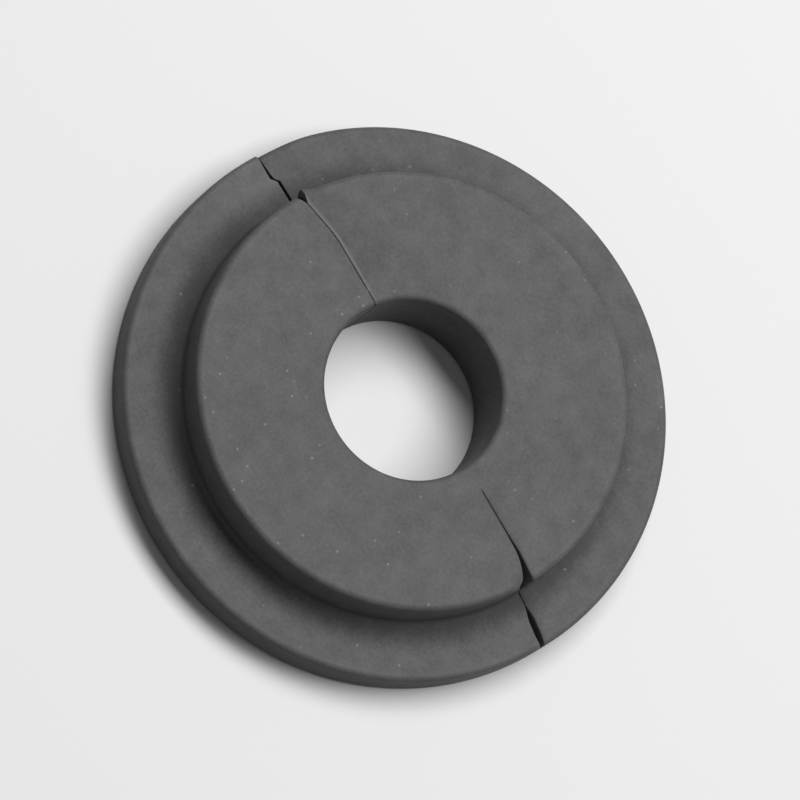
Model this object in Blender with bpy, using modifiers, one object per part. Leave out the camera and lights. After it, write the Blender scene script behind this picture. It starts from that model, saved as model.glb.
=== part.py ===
"""Split thumbstick silicone ring. Metres, +Z up, underside on z = 0.

The ring is one soft moulding: two tiers round a plain bore. On its -X side a cut goes
right through it, so that it can be opened and put on. On its +X side a slot comes down
from the top and in from the rim. It leaves a thin web over the underside and a wall
round the bore, and the ring flexes open there.
"""

import math

import bmesh
import bpy
from mathutils import Matrix, Vector

# Driving dimensions
BORE_DIAMETER = 0.0100
UPPER_TIER_WIDTH = 0.0072
LEDGE_WIDTH = 0.0033
LOWER_TIER_HEIGHT = 0.0024
UPPER_TIER_HEIGHT = 0.0030
RIM_ROUNDING = 0.00035
UNDERSIDE_ROUNDING = 0.0003
FOOT_FILLET = 0.0003
CUT_WIDTH = 0.0003
SLOT_WIDTH = 0.0003
UNDERSIDE_WEB = 0.0009
BORE_WALL = 0.0015

# Sizes that follow from them
BORE_RADIUS = BORE_DIAMETER / 2
UPPER_TIER_RADIUS = BORE_RADIUS + UPPER_TIER_WIDTH
LOWER_TIER_RADIUS = UPPER_TIER_RADIUS + LEDGE_WIDTH
TOTAL_HEIGHT = LOWER_TIER_HEIGHT + UPPER_TIER_HEIGHT

# How finely the round forms are divided, and how far a blade reaches past the ring
TURN_STEPS = 96
ARC_STEPS = 4
BLADE_REACH = 0.0010

# Neutral grey, matt silicone
SILICONE_COLOUR = (0.09, 0.09, 0.09, 1.0)
SILICONE_ROUGHNESS = 0.65


def clear_scene():
    """Remove the objects that a new Blender file opens with."""
    for old in list(bpy.data.objects):
        bpy.data.objects.remove(old, do_unlink=True)


def new_collection(name):
    """Add a collection to the scene."""
    collection = bpy.data.collections.new(name)
    bpy.context.scene.collection.children.link(collection)
    return collection


def silicone():
    """Return the matt grey silicone that the ring is moulded from."""
    material = bpy.data.materials.new("silicone")
    material.use_nodes = True
    shader = material.node_tree.nodes["Principled BSDF"]
    shader.inputs["Base Color"].default_value = SILICONE_COLOUR
    shader.inputs["Roughness"].default_value = SILICONE_ROUGHNESS
    shader.inputs["Metallic"].default_value = 0.0
    return material


def rounded_outline(corners):
    """Return the points of a closed outline, with an arc at each right-angled corner."""
    points = []
    for index, (corner, radius) in enumerate(corners):
        back = (corners[index - 1][0] - corner).normalized()
        ahead = (corners[(index + 1) % len(corners)][0] - corner).normalized()
        centre = corner + (back + ahead) * radius
        for step in range(ARC_STEPS + 1):
            angle = math.pi / 2 * step / ARC_STEPS
            points.append(centre - (ahead * math.cos(angle) + back * math.sin(angle)) * radius)
    return points


def ring_section():
    """Return the section at +X, from the top of the bore out and down the outer side."""
    return rounded_outline([
        (Vector((BORE_RADIUS, 0, TOTAL_HEIGHT)), RIM_ROUNDING),
        (Vector((UPPER_TIER_RADIUS, 0, TOTAL_HEIGHT)), RIM_ROUNDING),
        (Vector((UPPER_TIER_RADIUS, 0, LOWER_TIER_HEIGHT)), FOOT_FILLET),
        (Vector((LOWER_TIER_RADIUS, 0, LOWER_TIER_HEIGHT)), RIM_ROUNDING),
        (Vector((LOWER_TIER_RADIUS, 0, 0)), UNDERSIDE_ROUNDING),
        (Vector((BORE_RADIUS, 0, 0)), UNDERSIDE_ROUNDING),
    ])


def add_turned(name, section, material, collection):
    """Turn a closed section round the Z axis with a Screw modifier."""
    count = len(section)
    mesh = bpy.data.meshes.new(name)
    mesh.from_pydata(section, [(index, (index + 1) % count) for index in range(count)], [])
    mesh.materials.append(material)
    turned = bpy.data.objects.new(name, mesh)
    collection.objects.link(turned)
    screw = turned.modifiers.new("turn", "SCREW")
    screw.axis = "Z"
    screw.angle = 2 * math.pi
    screw.steps = TURN_STEPS
    screw.render_steps = TURN_STEPS
    screw.use_smooth_shade = True
    return turned


def add_blade(name, low, high, collection):
    """Add a box between two corners that other pieces are cut with."""
    shape = bmesh.new()
    place = Matrix.Translation((low + high) / 2) @ Matrix.Diagonal((high - low).to_4d())
    bmesh.ops.create_cube(shape, size=1, matrix=place)
    mesh = bpy.data.meshes.new(name)
    shape.to_mesh(mesh)
    shape.free()
    blade = bpy.data.objects.new(name, mesh)
    blade.display_type = "WIRE"
    blade.hide_render = True
    collection.objects.link(blade)
    return blade


def cut(piece, blade):
    """Take a blade's shape out of a piece."""
    boolean = piece.modifiers.new(blade.name, "BOOLEAN")
    boolean.operation = "DIFFERENCE"
    boolean.solver = "EXACT"
    boolean.object = blade


clear_scene()
part_collection = new_collection("thumbstick_silicone_ring")
blade_collection = new_collection("blades")

ring = add_turned("silicone_ring", ring_section(), silicone(), part_collection)

past_rim = LOWER_TIER_RADIUS + BLADE_REACH
past_top = TOTAL_HEIGHT + BLADE_REACH
cut(ring, add_blade(
    "through_cut",
    Vector((-past_rim, -CUT_WIDTH / 2, -BLADE_REACH)),
    Vector((0, CUT_WIDTH / 2, past_top)),
    blade_collection,
))
cut(ring, add_blade(
    "flex_slot",
    Vector((BORE_RADIUS + BORE_WALL, -SLOT_WIDTH / 2, UNDERSIDE_WEB)),
    Vector((past_rim, SLOT_WIDTH / 2, past_top)),
    blade_collection,
))
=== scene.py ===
"""A split silicone ring in two tiers, lying on a pale studio floor.

Metres, +Z up. The ring lies on z = 0 with its axis on Z and its narrower tier on top.
"""

import math

import bmesh
import bpy
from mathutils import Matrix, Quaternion, Vector, noise


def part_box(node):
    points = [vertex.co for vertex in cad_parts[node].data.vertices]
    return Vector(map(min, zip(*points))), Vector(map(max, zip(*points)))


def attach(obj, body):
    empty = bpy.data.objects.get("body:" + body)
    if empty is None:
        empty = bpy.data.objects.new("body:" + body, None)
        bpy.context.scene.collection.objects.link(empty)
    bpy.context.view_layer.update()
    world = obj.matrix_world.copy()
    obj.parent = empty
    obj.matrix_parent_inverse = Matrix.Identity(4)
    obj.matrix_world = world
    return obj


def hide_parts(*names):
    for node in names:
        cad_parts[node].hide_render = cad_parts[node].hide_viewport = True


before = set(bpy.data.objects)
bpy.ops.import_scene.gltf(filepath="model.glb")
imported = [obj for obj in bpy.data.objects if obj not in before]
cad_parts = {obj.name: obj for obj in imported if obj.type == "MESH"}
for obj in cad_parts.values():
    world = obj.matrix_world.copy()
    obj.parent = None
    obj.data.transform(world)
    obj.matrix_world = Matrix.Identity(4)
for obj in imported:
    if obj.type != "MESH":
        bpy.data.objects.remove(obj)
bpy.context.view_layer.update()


# The camera looks down on the ring at 68 degrees and is rolled, so that the ring's axis
# leans to the upper right of the picture, and its cut and slot run across it.
view_turn = math.radians(7)
view_height = math.radians(68.4)
view_roll = math.radians(53)
view_distance = 0.40
view_width = 0.0435
nearest_seen = 0.01

ring_low, ring_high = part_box("silicone_ring")
towards_camera = Vector((
    math.sin(view_turn) * math.cos(view_height),
    -math.cos(view_turn) * math.cos(view_height),
    math.sin(view_height),
))
camera_data = bpy.data.cameras.new("camera")
camera_data.lens = camera_data.sensor_width * view_distance / view_width
camera_data.clip_start = nearest_seen
camera = bpy.data.objects.new("camera", camera_data)
camera.rotation_mode = "QUATERNION"
camera.location = (ring_low + ring_high) / 2 + towards_camera * view_distance
camera.rotation_quaternion = towards_camera.to_track_quat("Z", "Y") @ Quaternion((0, 0, 1), view_roll)
bpy.context.scene.collection.objects.link(camera)
bpy.context.scene.camera = camera


# The ring is one soft moulding of grey silicone rubber, two flat tiers round a plain bore.
# It is made by turning its section round the axis, from one face of the cut on the -X side
# to the other. A knife made the cut after moulding, so that the ring opens and can be put on.
lower_radius = ring_high.y
total_height = ring_high.z
ledge_width = 0.0033
ledge_height = 0.0024
bore_radius = 0.0050
upper_radius = lower_radius - ledge_width
bore_wall = 0.0015
slot_start = bore_radius + bore_wall
web_height = 0.0009
rim_rounding = 0.00035
underside_rounding = 0.0003
foot_fillet = 0.0003
lip_rounding = 0.00004
arc_steps = 7
cell = 0.0003
near_enough = 0.00001
weld_reach = 0.000001
cut_turn = math.radians(0.4)
full_turn = 2 * math.pi - 2 * cut_turn
turn_steps = 361


def everything():
    """Return all that the ring's mesh holds."""
    return ring_mesh.verts[:] + ring_mesh.edges[:] + ring_mesh.faces[:]


def round_corners(corners, radius):
    """Round corners of the section in its own plane."""
    bmesh.ops.bevel(
        ring_mesh,
        geom=corners,
        offset=radius,
        segments=arc_steps,
        profile=0.5,
        affect="VERTICES",
        material=-1,
    )


def divide(direction, start, end):
    """Divide the section into cells along a direction, with one of the lines at start."""
    for step in range(-int(start / cell), int((end - start) / cell) + 1):
        bmesh.ops.bisect_plane(
            ring_mesh,
            geom=everything(),
            dist=near_enough,
            plane_co=direction * (start + step * cell),
            plane_no=direction,
        )


# The section, from the top of the bore outwards, at one face of the cut
ring_mesh = bmesh.new()
outline = [
    (bore_radius, total_height),
    (upper_radius, total_height),
    (upper_radius, ledge_height),
    (lower_radius, ledge_height),
    (lower_radius, 0),
    (bore_radius, 0),
]
outward = Vector((-math.cos(cut_turn), -math.sin(cut_turn), 0))
up = Vector((0, 0, 1))
corners = [ring_mesh.verts.new(outward * radius + up * height) for radius, height in outline]
ring_mesh.faces.new(corners)
bore_rim, upper_rim, foot, lower_rim, outer_base, bore_base = corners
round_corners([bore_rim, upper_rim, lower_rim], rim_rounding)
round_corners([outer_base, bore_base], underside_rounding)
round_corners([foot], foot_fillet)
bmesh.ops.inset_region(
    ring_mesh,
    faces=ring_mesh.faces[:],
    thickness=lip_rounding,
    use_boundary=True,
    use_even_offset=True,
)
divide(outward, slot_start, lower_radius)
divide(up, web_height, total_height)

cut_faces = set(ring_mesh.faces)
turned = bmesh.ops.spin(
    ring_mesh,
    geom=everything(),
    cent=(0, 0, 0),
    axis=(0, 0, 1),
    angle=full_turn,
    steps=turn_steps,
)
cut_faces.update(item for item in turned["geom_last"] if isinstance(item, bmesh.types.BMFace))


# The cut's two faces nearly touch. The knife was led by eye: its line lies a little to the far
# side of the axis and jogs half way across the ledge, where it widens up to the jog and stays
# open inside it. It has a nick in the upper rim, and slants on from there.
cut_gap = 0.00003
rim_stray = 0.0002
ledge_stray = 0.00008
jog_stray = 0.00027
slant_stray = 0.0006
slant_outside_rim = 0.0008
slant_inside_rim = 0.0035
jog_radius = upper_radius + ledge_width / 2
jog_width = cell
outer_gape = 0.00001
jog_gape = 0.00007
nick_reach = 0.0006
nick_depth = 0.0015
nick_gape = 0.00022
slide_reach = 0.0025


def ramp(value, start, end):
    """Return 0 before start, 1 after end, and a smooth rise between them."""
    share = min(max((value - start) / (end - start), 0), 1)
    return share * share * (3 - 2 * share)


def place(vertex, radius, distance, height):
    """Put a vertex at a radius and height, a distance from the plane of the cut and slot."""
    vertex.co.x = math.copysign(math.sqrt(radius**2 - distance**2), vertex.co.x)
    vertex.co.y = distance
    vertex.co.z = height


def slide(vertex, edge_turn, opening, stray):
    """Slide a vertex round its circle, as an edge at a turn comes to lie at an opening."""
    radius = vertex.co.xy.length
    share = (slide_reach - abs(vertex.co.y)) / (slide_reach - radius * math.sin(edge_turn))
    if share > 0:
        distance = math.copysign(slide_reach + (opening - slide_reach) * share, vertex.co.y)
        place(vertex, radius, distance + stray * ramp(share, 0, 1), vertex.co.z)


def inside_jog(radius):
    """Return 1 on the bore's side of the jog and 0 on the rim's."""
    return 1 - ramp(radius, jog_radius - jog_width / 2, jog_radius + jog_width / 2)


def knife_line(radius, height):
    """Return how far the knife strayed to the far side."""
    on_ledge = rim_stray + ledge_stray * ramp(radius, lower_radius, upper_radius)
    on_ledge += jog_stray * inside_jog(radius)
    on_top = slant_stray * ramp(radius, upper_radius + slant_outside_rim, upper_radius - slant_inside_rim)
    return on_ledge + (on_top - on_ledge) * ramp(height, ledge_height, total_height)


def cut_opening(radius, height, at_lip):
    """Return half the cut's width, at its lip or farther in."""
    half = cut_gap / 2 + lip_rounding * at_lip
    if radius < upper_radius - near_enough or height > ledge_height + foot_fillet + near_enough:
        at_rim = ramp(radius, upper_radius - nick_reach, upper_radius)
        at_top = ramp(height, total_height - nick_depth, total_height - rim_rounding)
        return half + nick_gape * at_rim * at_top
    gape = outer_gape + (jog_gape - outer_gape) * ramp(radius, lower_radius, jog_radius)
    return half + gape * ramp(height, web_height, ledge_height)


lips = {
    vertex for face in cut_faces for edge in face.edges for vertex in edge.verts
    if len(cut_faces.intersection(edge.link_faces)) == 1
}
for vertex in ring_mesh.verts:
    if vertex.co.x < 0:
        radius = vertex.co.xy.length
        height = vertex.co.z
        slide(vertex, cut_turn, cut_opening(radius, height, vertex in lips), knife_line(radius, height))


# Opposite the cut, the flex slot comes down from the top and in from the rim, and ends in a
# thin web and the bore's wall. It slants as the cut does, and gapes at the upper rim, where
# the near side's corner is worn round, and again on the outer part of the ledge.
slot_gap = 0.00003
slot_stray = 0.00038
stray_outside_ledge = 0.001
stray_outside_rim = 0.0004
stray_inside_rim = 0.002
near_gape = 0.00018
far_gape = 0.00034
gape_power = 4
corner_wear = 0.00030
corner_power = 2
ledge_gape = 0.00016
ledge_gape_start = 0.25
ledge_gape_full = 0.55
ledge_gape_past_full = 0.8
ledge_gape_loss = 0.35


def slot_line(radius, height):
    """Return how far the slot's line strayed to the far side."""
    on_ledge = ramp(radius, lower_radius + stray_outside_ledge, upper_radius)
    on_top = ramp(radius, upper_radius + stray_outside_rim, upper_radius - stray_inside_rim)
    return slot_stray * (on_ledge + (on_top - on_ledge) * ramp(height, ledge_height, total_height))


def slot_opening(radius, height, near):
    """Return half the slot's width, on its near side or its far side."""
    if radius < upper_radius or height > ledge_height + foot_fillet:
        across = (radius - slot_start) / (upper_radius - slot_start)
        gape = (near_gape if near else far_gape) * across**gape_power
        if near:
            at_corner = ramp(radius, upper_radius - 2 * corner_wear, upper_radius)
            gape += corner_wear * at_corner**corner_power
        return slot_gap / 2 + gape * ramp(height, ledge_height, total_height)
    across = (radius - upper_radius) / ledge_width
    share = ramp(across, ledge_gape_start, ledge_gape_full)
    share *= 1 - ledge_gape_loss * ramp(across, ledge_gape_past_full, 1)
    return slot_gap / 2 + ledge_gape * share * ramp(height, web_height, ledge_height)


# One step of the surface is sunk, down and inwards alike: past the lips first, then by cells
half_step = full_turn / turn_steps / 2
strip = []
for face in ring_mesh.faces:
    middle = face.calc_center_median()
    at_slot = middle.x > 0 and abs(middle.y) < near_enough
    if at_slot and middle.xy.length > slot_start and middle.z > web_height:
        strip.append(face)
for vertex in ring_mesh.verts:
    radius = vertex.co.xy.length
    height = vertex.co.z
    depth = min(radius - slot_start, height - web_height)
    if vertex.co.x > 0 and depth > -near_enough:
        opening = slot_opening(radius, height, vertex.co.y < 0) + lip_rounding * (depth > near_enough)
        slide(vertex, half_step, opening, slot_line(radius, height))
for drop in [lip_rounding] + [cell] * round((total_height - web_height) / cell):
    sunk = bmesh.ops.extrude_face_region(ring_mesh, geom=strip)["geom"]
    bmesh.ops.delete(ring_mesh, geom=strip, context="FACES")
    strip = [item for item in sunk if isinstance(item, bmesh.types.BMFace)]
    for vertex in {vertex for face in strip for vertex in face.verts}:
        radius = vertex.co.xy.length
        height = vertex.co.z
        near = vertex.co.y < slot_line(radius, height)
        depth = max(min(drop, radius - slot_start, height - web_height), 0)
        radius -= depth
        height -= depth
        opening = slot_opening(radius, height, near) * (-1 if near else 1)
        place(vertex, radius, slot_line(radius, height) + opening, height)
bmesh.ops.remove_doubles(ring_mesh, verts=ring_mesh.verts, dist=weld_reach)


# Soft rubber lies unevenly. It dips to the cut, whose far side droops and is drawn in at the
# lower rim, and stands out of the upper rim beside the nick. The slot's near corner is worn
# down, and the upper faces are in faint waves.
wall_middle = (ledge_height + total_height) / 2
near_dip = 0.00009
far_dip = 0.00004
far_inset = 0.00012
dip_reach = 0.0035
far_lip_droop = 0.00009
far_lip_reach = 0.0003
corner_push = 0.00032
push_reach = 0.0011
corner_sink = 0.00025
corner_reach = 0.0011
wave_depth = 0.00005
wave_size = 0.007
sharp_angle = math.radians(60)


def sink_at_cut(radius, aside):
    """Return how far the surface dips, at a distance from the cut, which is negative if near."""
    dip = near_dip if aside < 0 else far_dip
    droop = far_lip_droop * (1 - ramp(aside, 0, far_lip_reach)) if aside > 0 else 0
    return dip * (1 - ramp(abs(aside), 0, dip_reach)) + droop * ramp(radius, jog_radius, lower_radius)


def push_at_nick(radius, aside, height):
    """Return how far the cut's far side is pushed out of the upper rim, beside the nick."""
    by_lip = (1 - ramp(aside, 0, push_reach)) * (aside > 0)
    at_rim = ramp(radius, upper_radius - nick_reach, upper_radius)
    at_top = ramp(height, wall_middle, total_height - rim_rounding)
    return corner_push * by_lip * at_rim * at_top


def sink_at_slot(radius, aside, height):
    """Return how far the slot's near side is worn down."""
    by_lip = ramp(aside, -corner_reach, -corner_wear) * (aside < 0)
    at_corner = ramp(radius, upper_radius - corner_reach, upper_radius)
    return corner_sink * by_lip * at_corner * ramp(height, wall_middle, total_height)


from_cut = ring_mesh.verts.layers.float.new("from_cut")
for vertex in ring_mesh.verts:
    radius = vertex.co.xy.length
    height = vertex.co.z
    vertex[from_cut] = vertex.co.y - knife_line(radius, height)
    sink = wave_depth * (0.5 + 0.5 * noise.noise(vertex.co / wave_size))
    if vertex.co.x > 0:
        sink += sink_at_slot(radius, vertex.co.y - slot_line(radius, height), height)
    else:
        sink += sink_at_cut(radius, vertex[from_cut])
        by_far_lip = (vertex[from_cut] > 0) * (1 - ramp(vertex[from_cut], 0, dip_reach))
        vertex.co.x += far_inset * by_far_lip * ramp(radius, upper_radius, lower_radius)
        vertex.co.x -= push_at_nick(radius, vertex[from_cut], height)
    vertex.co.z -= sink * ramp(height, 0, total_height)
for vertex in {vertex for face in cut_faces for vertex in face.verts}:
    radius = vertex.co.xy.length
    opening = cut_opening(radius, vertex.co.z, vertex in lips)
    vertex.co.y = knife_line(radius, vertex.co.z) + math.copysign(opening, vertex[from_cut])

ring_data = bpy.data.meshes.new("ring")
ring_mesh.to_mesh(ring_data)
ring_mesh.free()
ring_data.shade_smooth()
ring_data.set_sharp_from_angle(angle=sharp_angle)
ring = bpy.data.objects.new("ring", ring_data)
bpy.context.scene.collection.objects.link(ring)
flat_shading = ring.modifiers.new("flat faces shade flat", "WEIGHTED_NORMAL")
flat_shading.keep_sharp = True
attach(ring, "root")
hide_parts("silicone_ring")


class Shade:
    """A value in a material's nodes. Operators on it add Math nodes, node() any other node."""

    def __init__(self, tree, socket=None):
        self.tree = tree
        self.socket = socket

    def node(self, kind, settings, inputs, output=0):
        """Add a node, set it up, then give its sockets their values or links."""
        made = self.tree.nodes.new(kind)
        for name, setting in settings.items():
            setattr(made, name, setting)
        for name, value in inputs.items():
            if isinstance(value, Shade):
                self.tree.links.new(value.socket, made.inputs[name])
            else:
                made.inputs[name].default_value = value
        return Shade(self.tree, made.outputs[output])

    def feed(self, socket):
        """Link this value to a shader's own socket."""
        self.tree.links.new(self.socket, socket)

    def math(self, operation, first, second):
        """Add a Math node on two values."""
        return self.node("ShaderNodeMath", {"operation": operation}, {0: first, 1: second})

    def __add__(self, other):
        return self.math("ADD", self, other)

    def __radd__(self, other):
        return self.math("ADD", other, self)

    def __sub__(self, other):
        return self.math("SUBTRACT", self, other)

    def __rsub__(self, other):
        return self.math("SUBTRACT", other, self)

    def __mul__(self, other):
        return self.math("MULTIPLY", self, other)

    def __rmul__(self, other):
        return self.math("MULTIPLY", other, self)

    def __abs__(self):
        return self.math("ABSOLUTE", self, 0)

    def band(self, none, full):
        """Return 0 where this value is none, 1 where it is full, and a smooth rise between."""
        inputs = {"Value": self, "From Min": none, "From Max": full}
        return self.node("ShaderNodeMapRange", {"interpolation_type": "SMOOTHSTEP"}, inputs)

    def patches(self, size, detail=2):
        """Return noise from -0.5 to 0.5, in patches of a size, with this value as the place."""
        inputs = {"Vector": self, "Scale": 1 / size, "Detail": detail}
        return self.node("ShaderNodeTexNoise", {}, inputs) - 0.5

    def blend(self, first, second):
        """Return a colour mixed from two, by this value."""
        return self.node("ShaderNodeMix", {"data_type": "RGBA"}, {0: self, 6: first, 7: second}, 2)


# The ring's skin is matt and mottled, with the mould's fine grain. It is smoother along the worn
# rims, has painted shade towards the foot of the step, and has specks of pale dust lying on it.
dark_grey = (0.052, 0.052, 0.053, 1)
pale_grey = (0.130, 0.130, 0.130, 1)
dust_grey = (0.27, 0.265, 0.255, 1)
mottle_size = 0.0011
fleck_size = 0.00018
cloud_size = 0.005
rim_reach = 0.0006
foot_shade_width = 0.0019
foot_shade_core_width = 0.0004
foot_shade_height = 0.0008
foot_shade_core_height = 0.0001

silicone = bpy.data.materials.new("grey silicone")
silicone.use_nodes = True
skin = Shade(silicone.node_tree)
here = skin.node("ShaderNodeTexCoord", {}, {}, "Object")
flat_here = skin.node("ShaderNodeVectorMath", {"operation": "MULTIPLY"}, {0: here, 1: (1, 1, 0)})
from_axis = skin.node("ShaderNodeVectorMath", {"operation": "LENGTH"}, {0: flat_here}, "Value")
along = skin.node("ShaderNodeSeparateXYZ", {}, {0: here}, "X")
level = skin.node("ShaderNodeSeparateXYZ", {}, {0: here}, "Z")
normal = skin.node("ShaderNodeNewGeometry", {}, {}, "Normal")
upward = skin.node("ShaderNodeSeparateXYZ", {}, {0: normal}, "Z")

at_top = level.band(total_height - rim_reach, total_height)
at_ledge = level.band(ledge_height - rim_reach, ledge_height)
upper_edge = from_axis.band(upper_radius - rim_reach, upper_radius) * at_top
lower_edge = from_axis.band(lower_radius - rim_reach, lower_radius) * at_ledge
worn = upper_edge + lower_edge
# Painted shade: the skin is darkened near the foot of the step, where the wall shades the ledge
by_foot = abs(from_axis - upper_radius).band(foot_shade_width, foot_shade_core_width)
painted_foot_shade = by_foot * abs(level - ledge_height).band(foot_shade_height, foot_shade_core_height)

# By the cut, painted light makes the near side paler, painted shade the far side darker, and a painted
# highlight runs in a thin line along the far lip
cut_side_start = -0.004
cut_side_full = -0.008
near_light_reach = 0.0045
near_light_core = 0.0008
shaded_reach = 0.0035
shaded_core = 0.0005
lip_blend = 0.0001
lip_highlight_place = 0.00013
lip_highlight_reach = 0.00009
lip_highlight_core = 0.00003

beside = skin.node("ShaderNodeAttribute", {"attribute_name": "from_cut"}, {}, "Fac")
by_cut = along.band(cut_side_start, cut_side_full)
# Painted light on the cut's near side, and painted shade on its far side
painted_near_light = level.band(ledge_height + rim_reach, ledge_height) * beside.band(-near_light_reach, -near_light_core)
painted_near_light = painted_near_light * beside.band(0, -lip_blend)
painted_far_shade = beside.band(shaded_reach, shaded_core) * beside.band(-lip_blend, 0)
# A painted highlight: a thin pale line along the cut's far lip, on the top
painted_lip_highlight = abs(beside - lip_highlight_place).band(lip_highlight_reach, lip_highlight_core) * at_top

tone = 0.5 + 0.68 * here.patches(mottle_size) + 0.7 * here.patches(fleck_size)
tone = tone + 0.3 * here.patches(cloud_size)
# Painted light and shade go into the tone here: the cut's paler near side, darker far side and light far
# lip, and the shade at the foot of the step
tone = tone + by_cut * (0.22 * painted_near_light - 0.12 * painted_far_shade + 0.8 * painted_lip_highlight) - 0.5 * painted_foot_shade
mottled = tone.blend(dark_grey, pale_grey)

# The dust has a speck in some of the cells of a pattern, where the skin faces up
speck_spacing = 0.0007
speck_edge = 0.17
speck_core = 0.07
bare_share = 0.66
full_share = 0.76
too_steep = 0.6
flat_enough = 0.9

speck_cells = {"Vector": here, "Scale": 1 / speck_spacing}
speck_size = skin.node("ShaderNodeTexVoronoi", {}, speck_cells, "Distance")
speck_chance = skin.node("ShaderNodeTexVoronoi", {}, speck_cells, "Color")
specks = speck_size.band(speck_edge, speck_core) * speck_chance.band(bare_share, full_share)
specks = specks * upward.band(too_steep, flat_enough)
dusty = (0.5 * specks).blend(mottled, dust_grey)

matt_roughness = 0.66
rough_patch_size = 0.002
grain_size = 0.00014
grain_depth = 0.000014
dimple_size = 0.0009
dimple_depth = 0.000020
speck_height = 0.00002

rough = matt_roughness + 0.12 * here.patches(rough_patch_size) - 0.10 * worn
grain = grain_depth * here.patches(grain_size) + dimple_depth * here.patches(dimple_size)
grain = grain + speck_height * specks
bump = skin.node("ShaderNodeBump", {}, {"Height": grain, "Strength": 1, "Distance": 1})

shader = silicone.node_tree.nodes["Principled BSDF"]
dusty.feed(shader.inputs["Base Color"])
rough.feed(shader.inputs["Roughness"])
bump.feed(shader.inputs["Normal"])
shader.inputs["IOR"].default_value = 1.41
shader.inputs["Specular IOR Level"].default_value = 0.35
ring_data.materials.append(silicone)


# The floor is a plain pale studio floor, and is no part of the ring. Its paleness is for the
# eye: it throws back less light than that, so that the ring's walls stay deep in tone.
floor_radius = 3
floor_sides = 64
floor_grey = (0.80, 0.80, 0.80, 1)
floor_bounce = (0.16, 0.16, 0.16, 1)

floor_mesh = bmesh.new()
bmesh.ops.create_circle(floor_mesh, cap_ends=True, segments=floor_sides, radius=floor_radius)
floor_data = bpy.data.meshes.new("floor")
floor_mesh.to_mesh(floor_data)
floor_mesh.free()
floor = bpy.data.objects.new("floor", floor_data)
bpy.context.scene.collection.objects.link(floor)


def seen(shade):
    """Return 1 for what the eye sees straight, in a gloss or through glass, and 0 otherwise."""
    straight = shade.node("ShaderNodeLightPath", {}, {}, "Is Camera Ray")
    in_gloss = shade.node("ShaderNodeLightPath", {}, {}, "Is Glossy Ray")
    through_glass = shade.node("ShaderNodeLightPath", {}, {}, "Is Transmission Ray")
    return shade.math("MAXIMUM", shade.math("MAXIMUM", straight, in_gloss), through_glass)


floor_paint = bpy.data.materials.new("floor paint")
floor_paint.use_nodes = True
paint = Shade(floor_paint.node_tree)
pale = paint.node("ShaderNodeBsdfDiffuse", {}, {"Color": floor_grey})
bounce = paint.node("ShaderNodeBsdfDiffuse", {}, {"Color": floor_bounce})
both = paint.node("ShaderNodeMixShader", {}, {0: seen(paint), 1: bounce, 2: pale})
both.feed(floor_paint.node_tree.nodes["Material Output"].inputs["Surface"])
floor_data.materials.append(floor_paint)


# The light is a wide softbox beyond the ring, high up, and a weak even light from all sides.
# To the eye, the even light shows as a pale backdrop behind the floor.
key_height = math.radians(70)
key_turn = math.radians(187)
key_distance = 0.45
key_length = 0.52
key_width = 0.19
key_power = 2.45
white = (1, 1, 1, 1)
backdrop_strength = 0.85
fill_strength = 0.12

towards_key = Vector((
    math.sin(key_turn) * math.cos(key_height),
    -math.cos(key_turn) * math.cos(key_height),
    math.sin(key_height),
))
key_data = bpy.data.lights.new("softbox", "AREA")
key_data.shape = "RECTANGLE"
key_data.size = key_length
key_data.size_y = key_width
key_data.energy = key_power
key = bpy.data.objects.new("softbox", key_data)
key.location = towards_key * key_distance
key.rotation_mode = "QUATERNION"
key.rotation_quaternion = towards_key.to_track_quat("Z", "Y")
bpy.context.scene.collection.objects.link(key)

world = bpy.data.worlds.new("studio")
world.use_nodes = True
bpy.context.scene.world = world
air = Shade(world.node_tree)
backdrop = air.node("ShaderNodeBackground", {}, {"Color": white, "Strength": backdrop_strength})
fill = air.node("ShaderNodeBackground", {}, {"Color": white, "Strength": fill_strength})
sky = air.node("ShaderNodeMixShader", {}, {0: seen(air), 1: fill, 2: backdrop})
sky.feed(world.node_tree.nodes["World Output"].inputs["Surface"])
bpy.context.scene.view_settings.view_transform = "Standard"
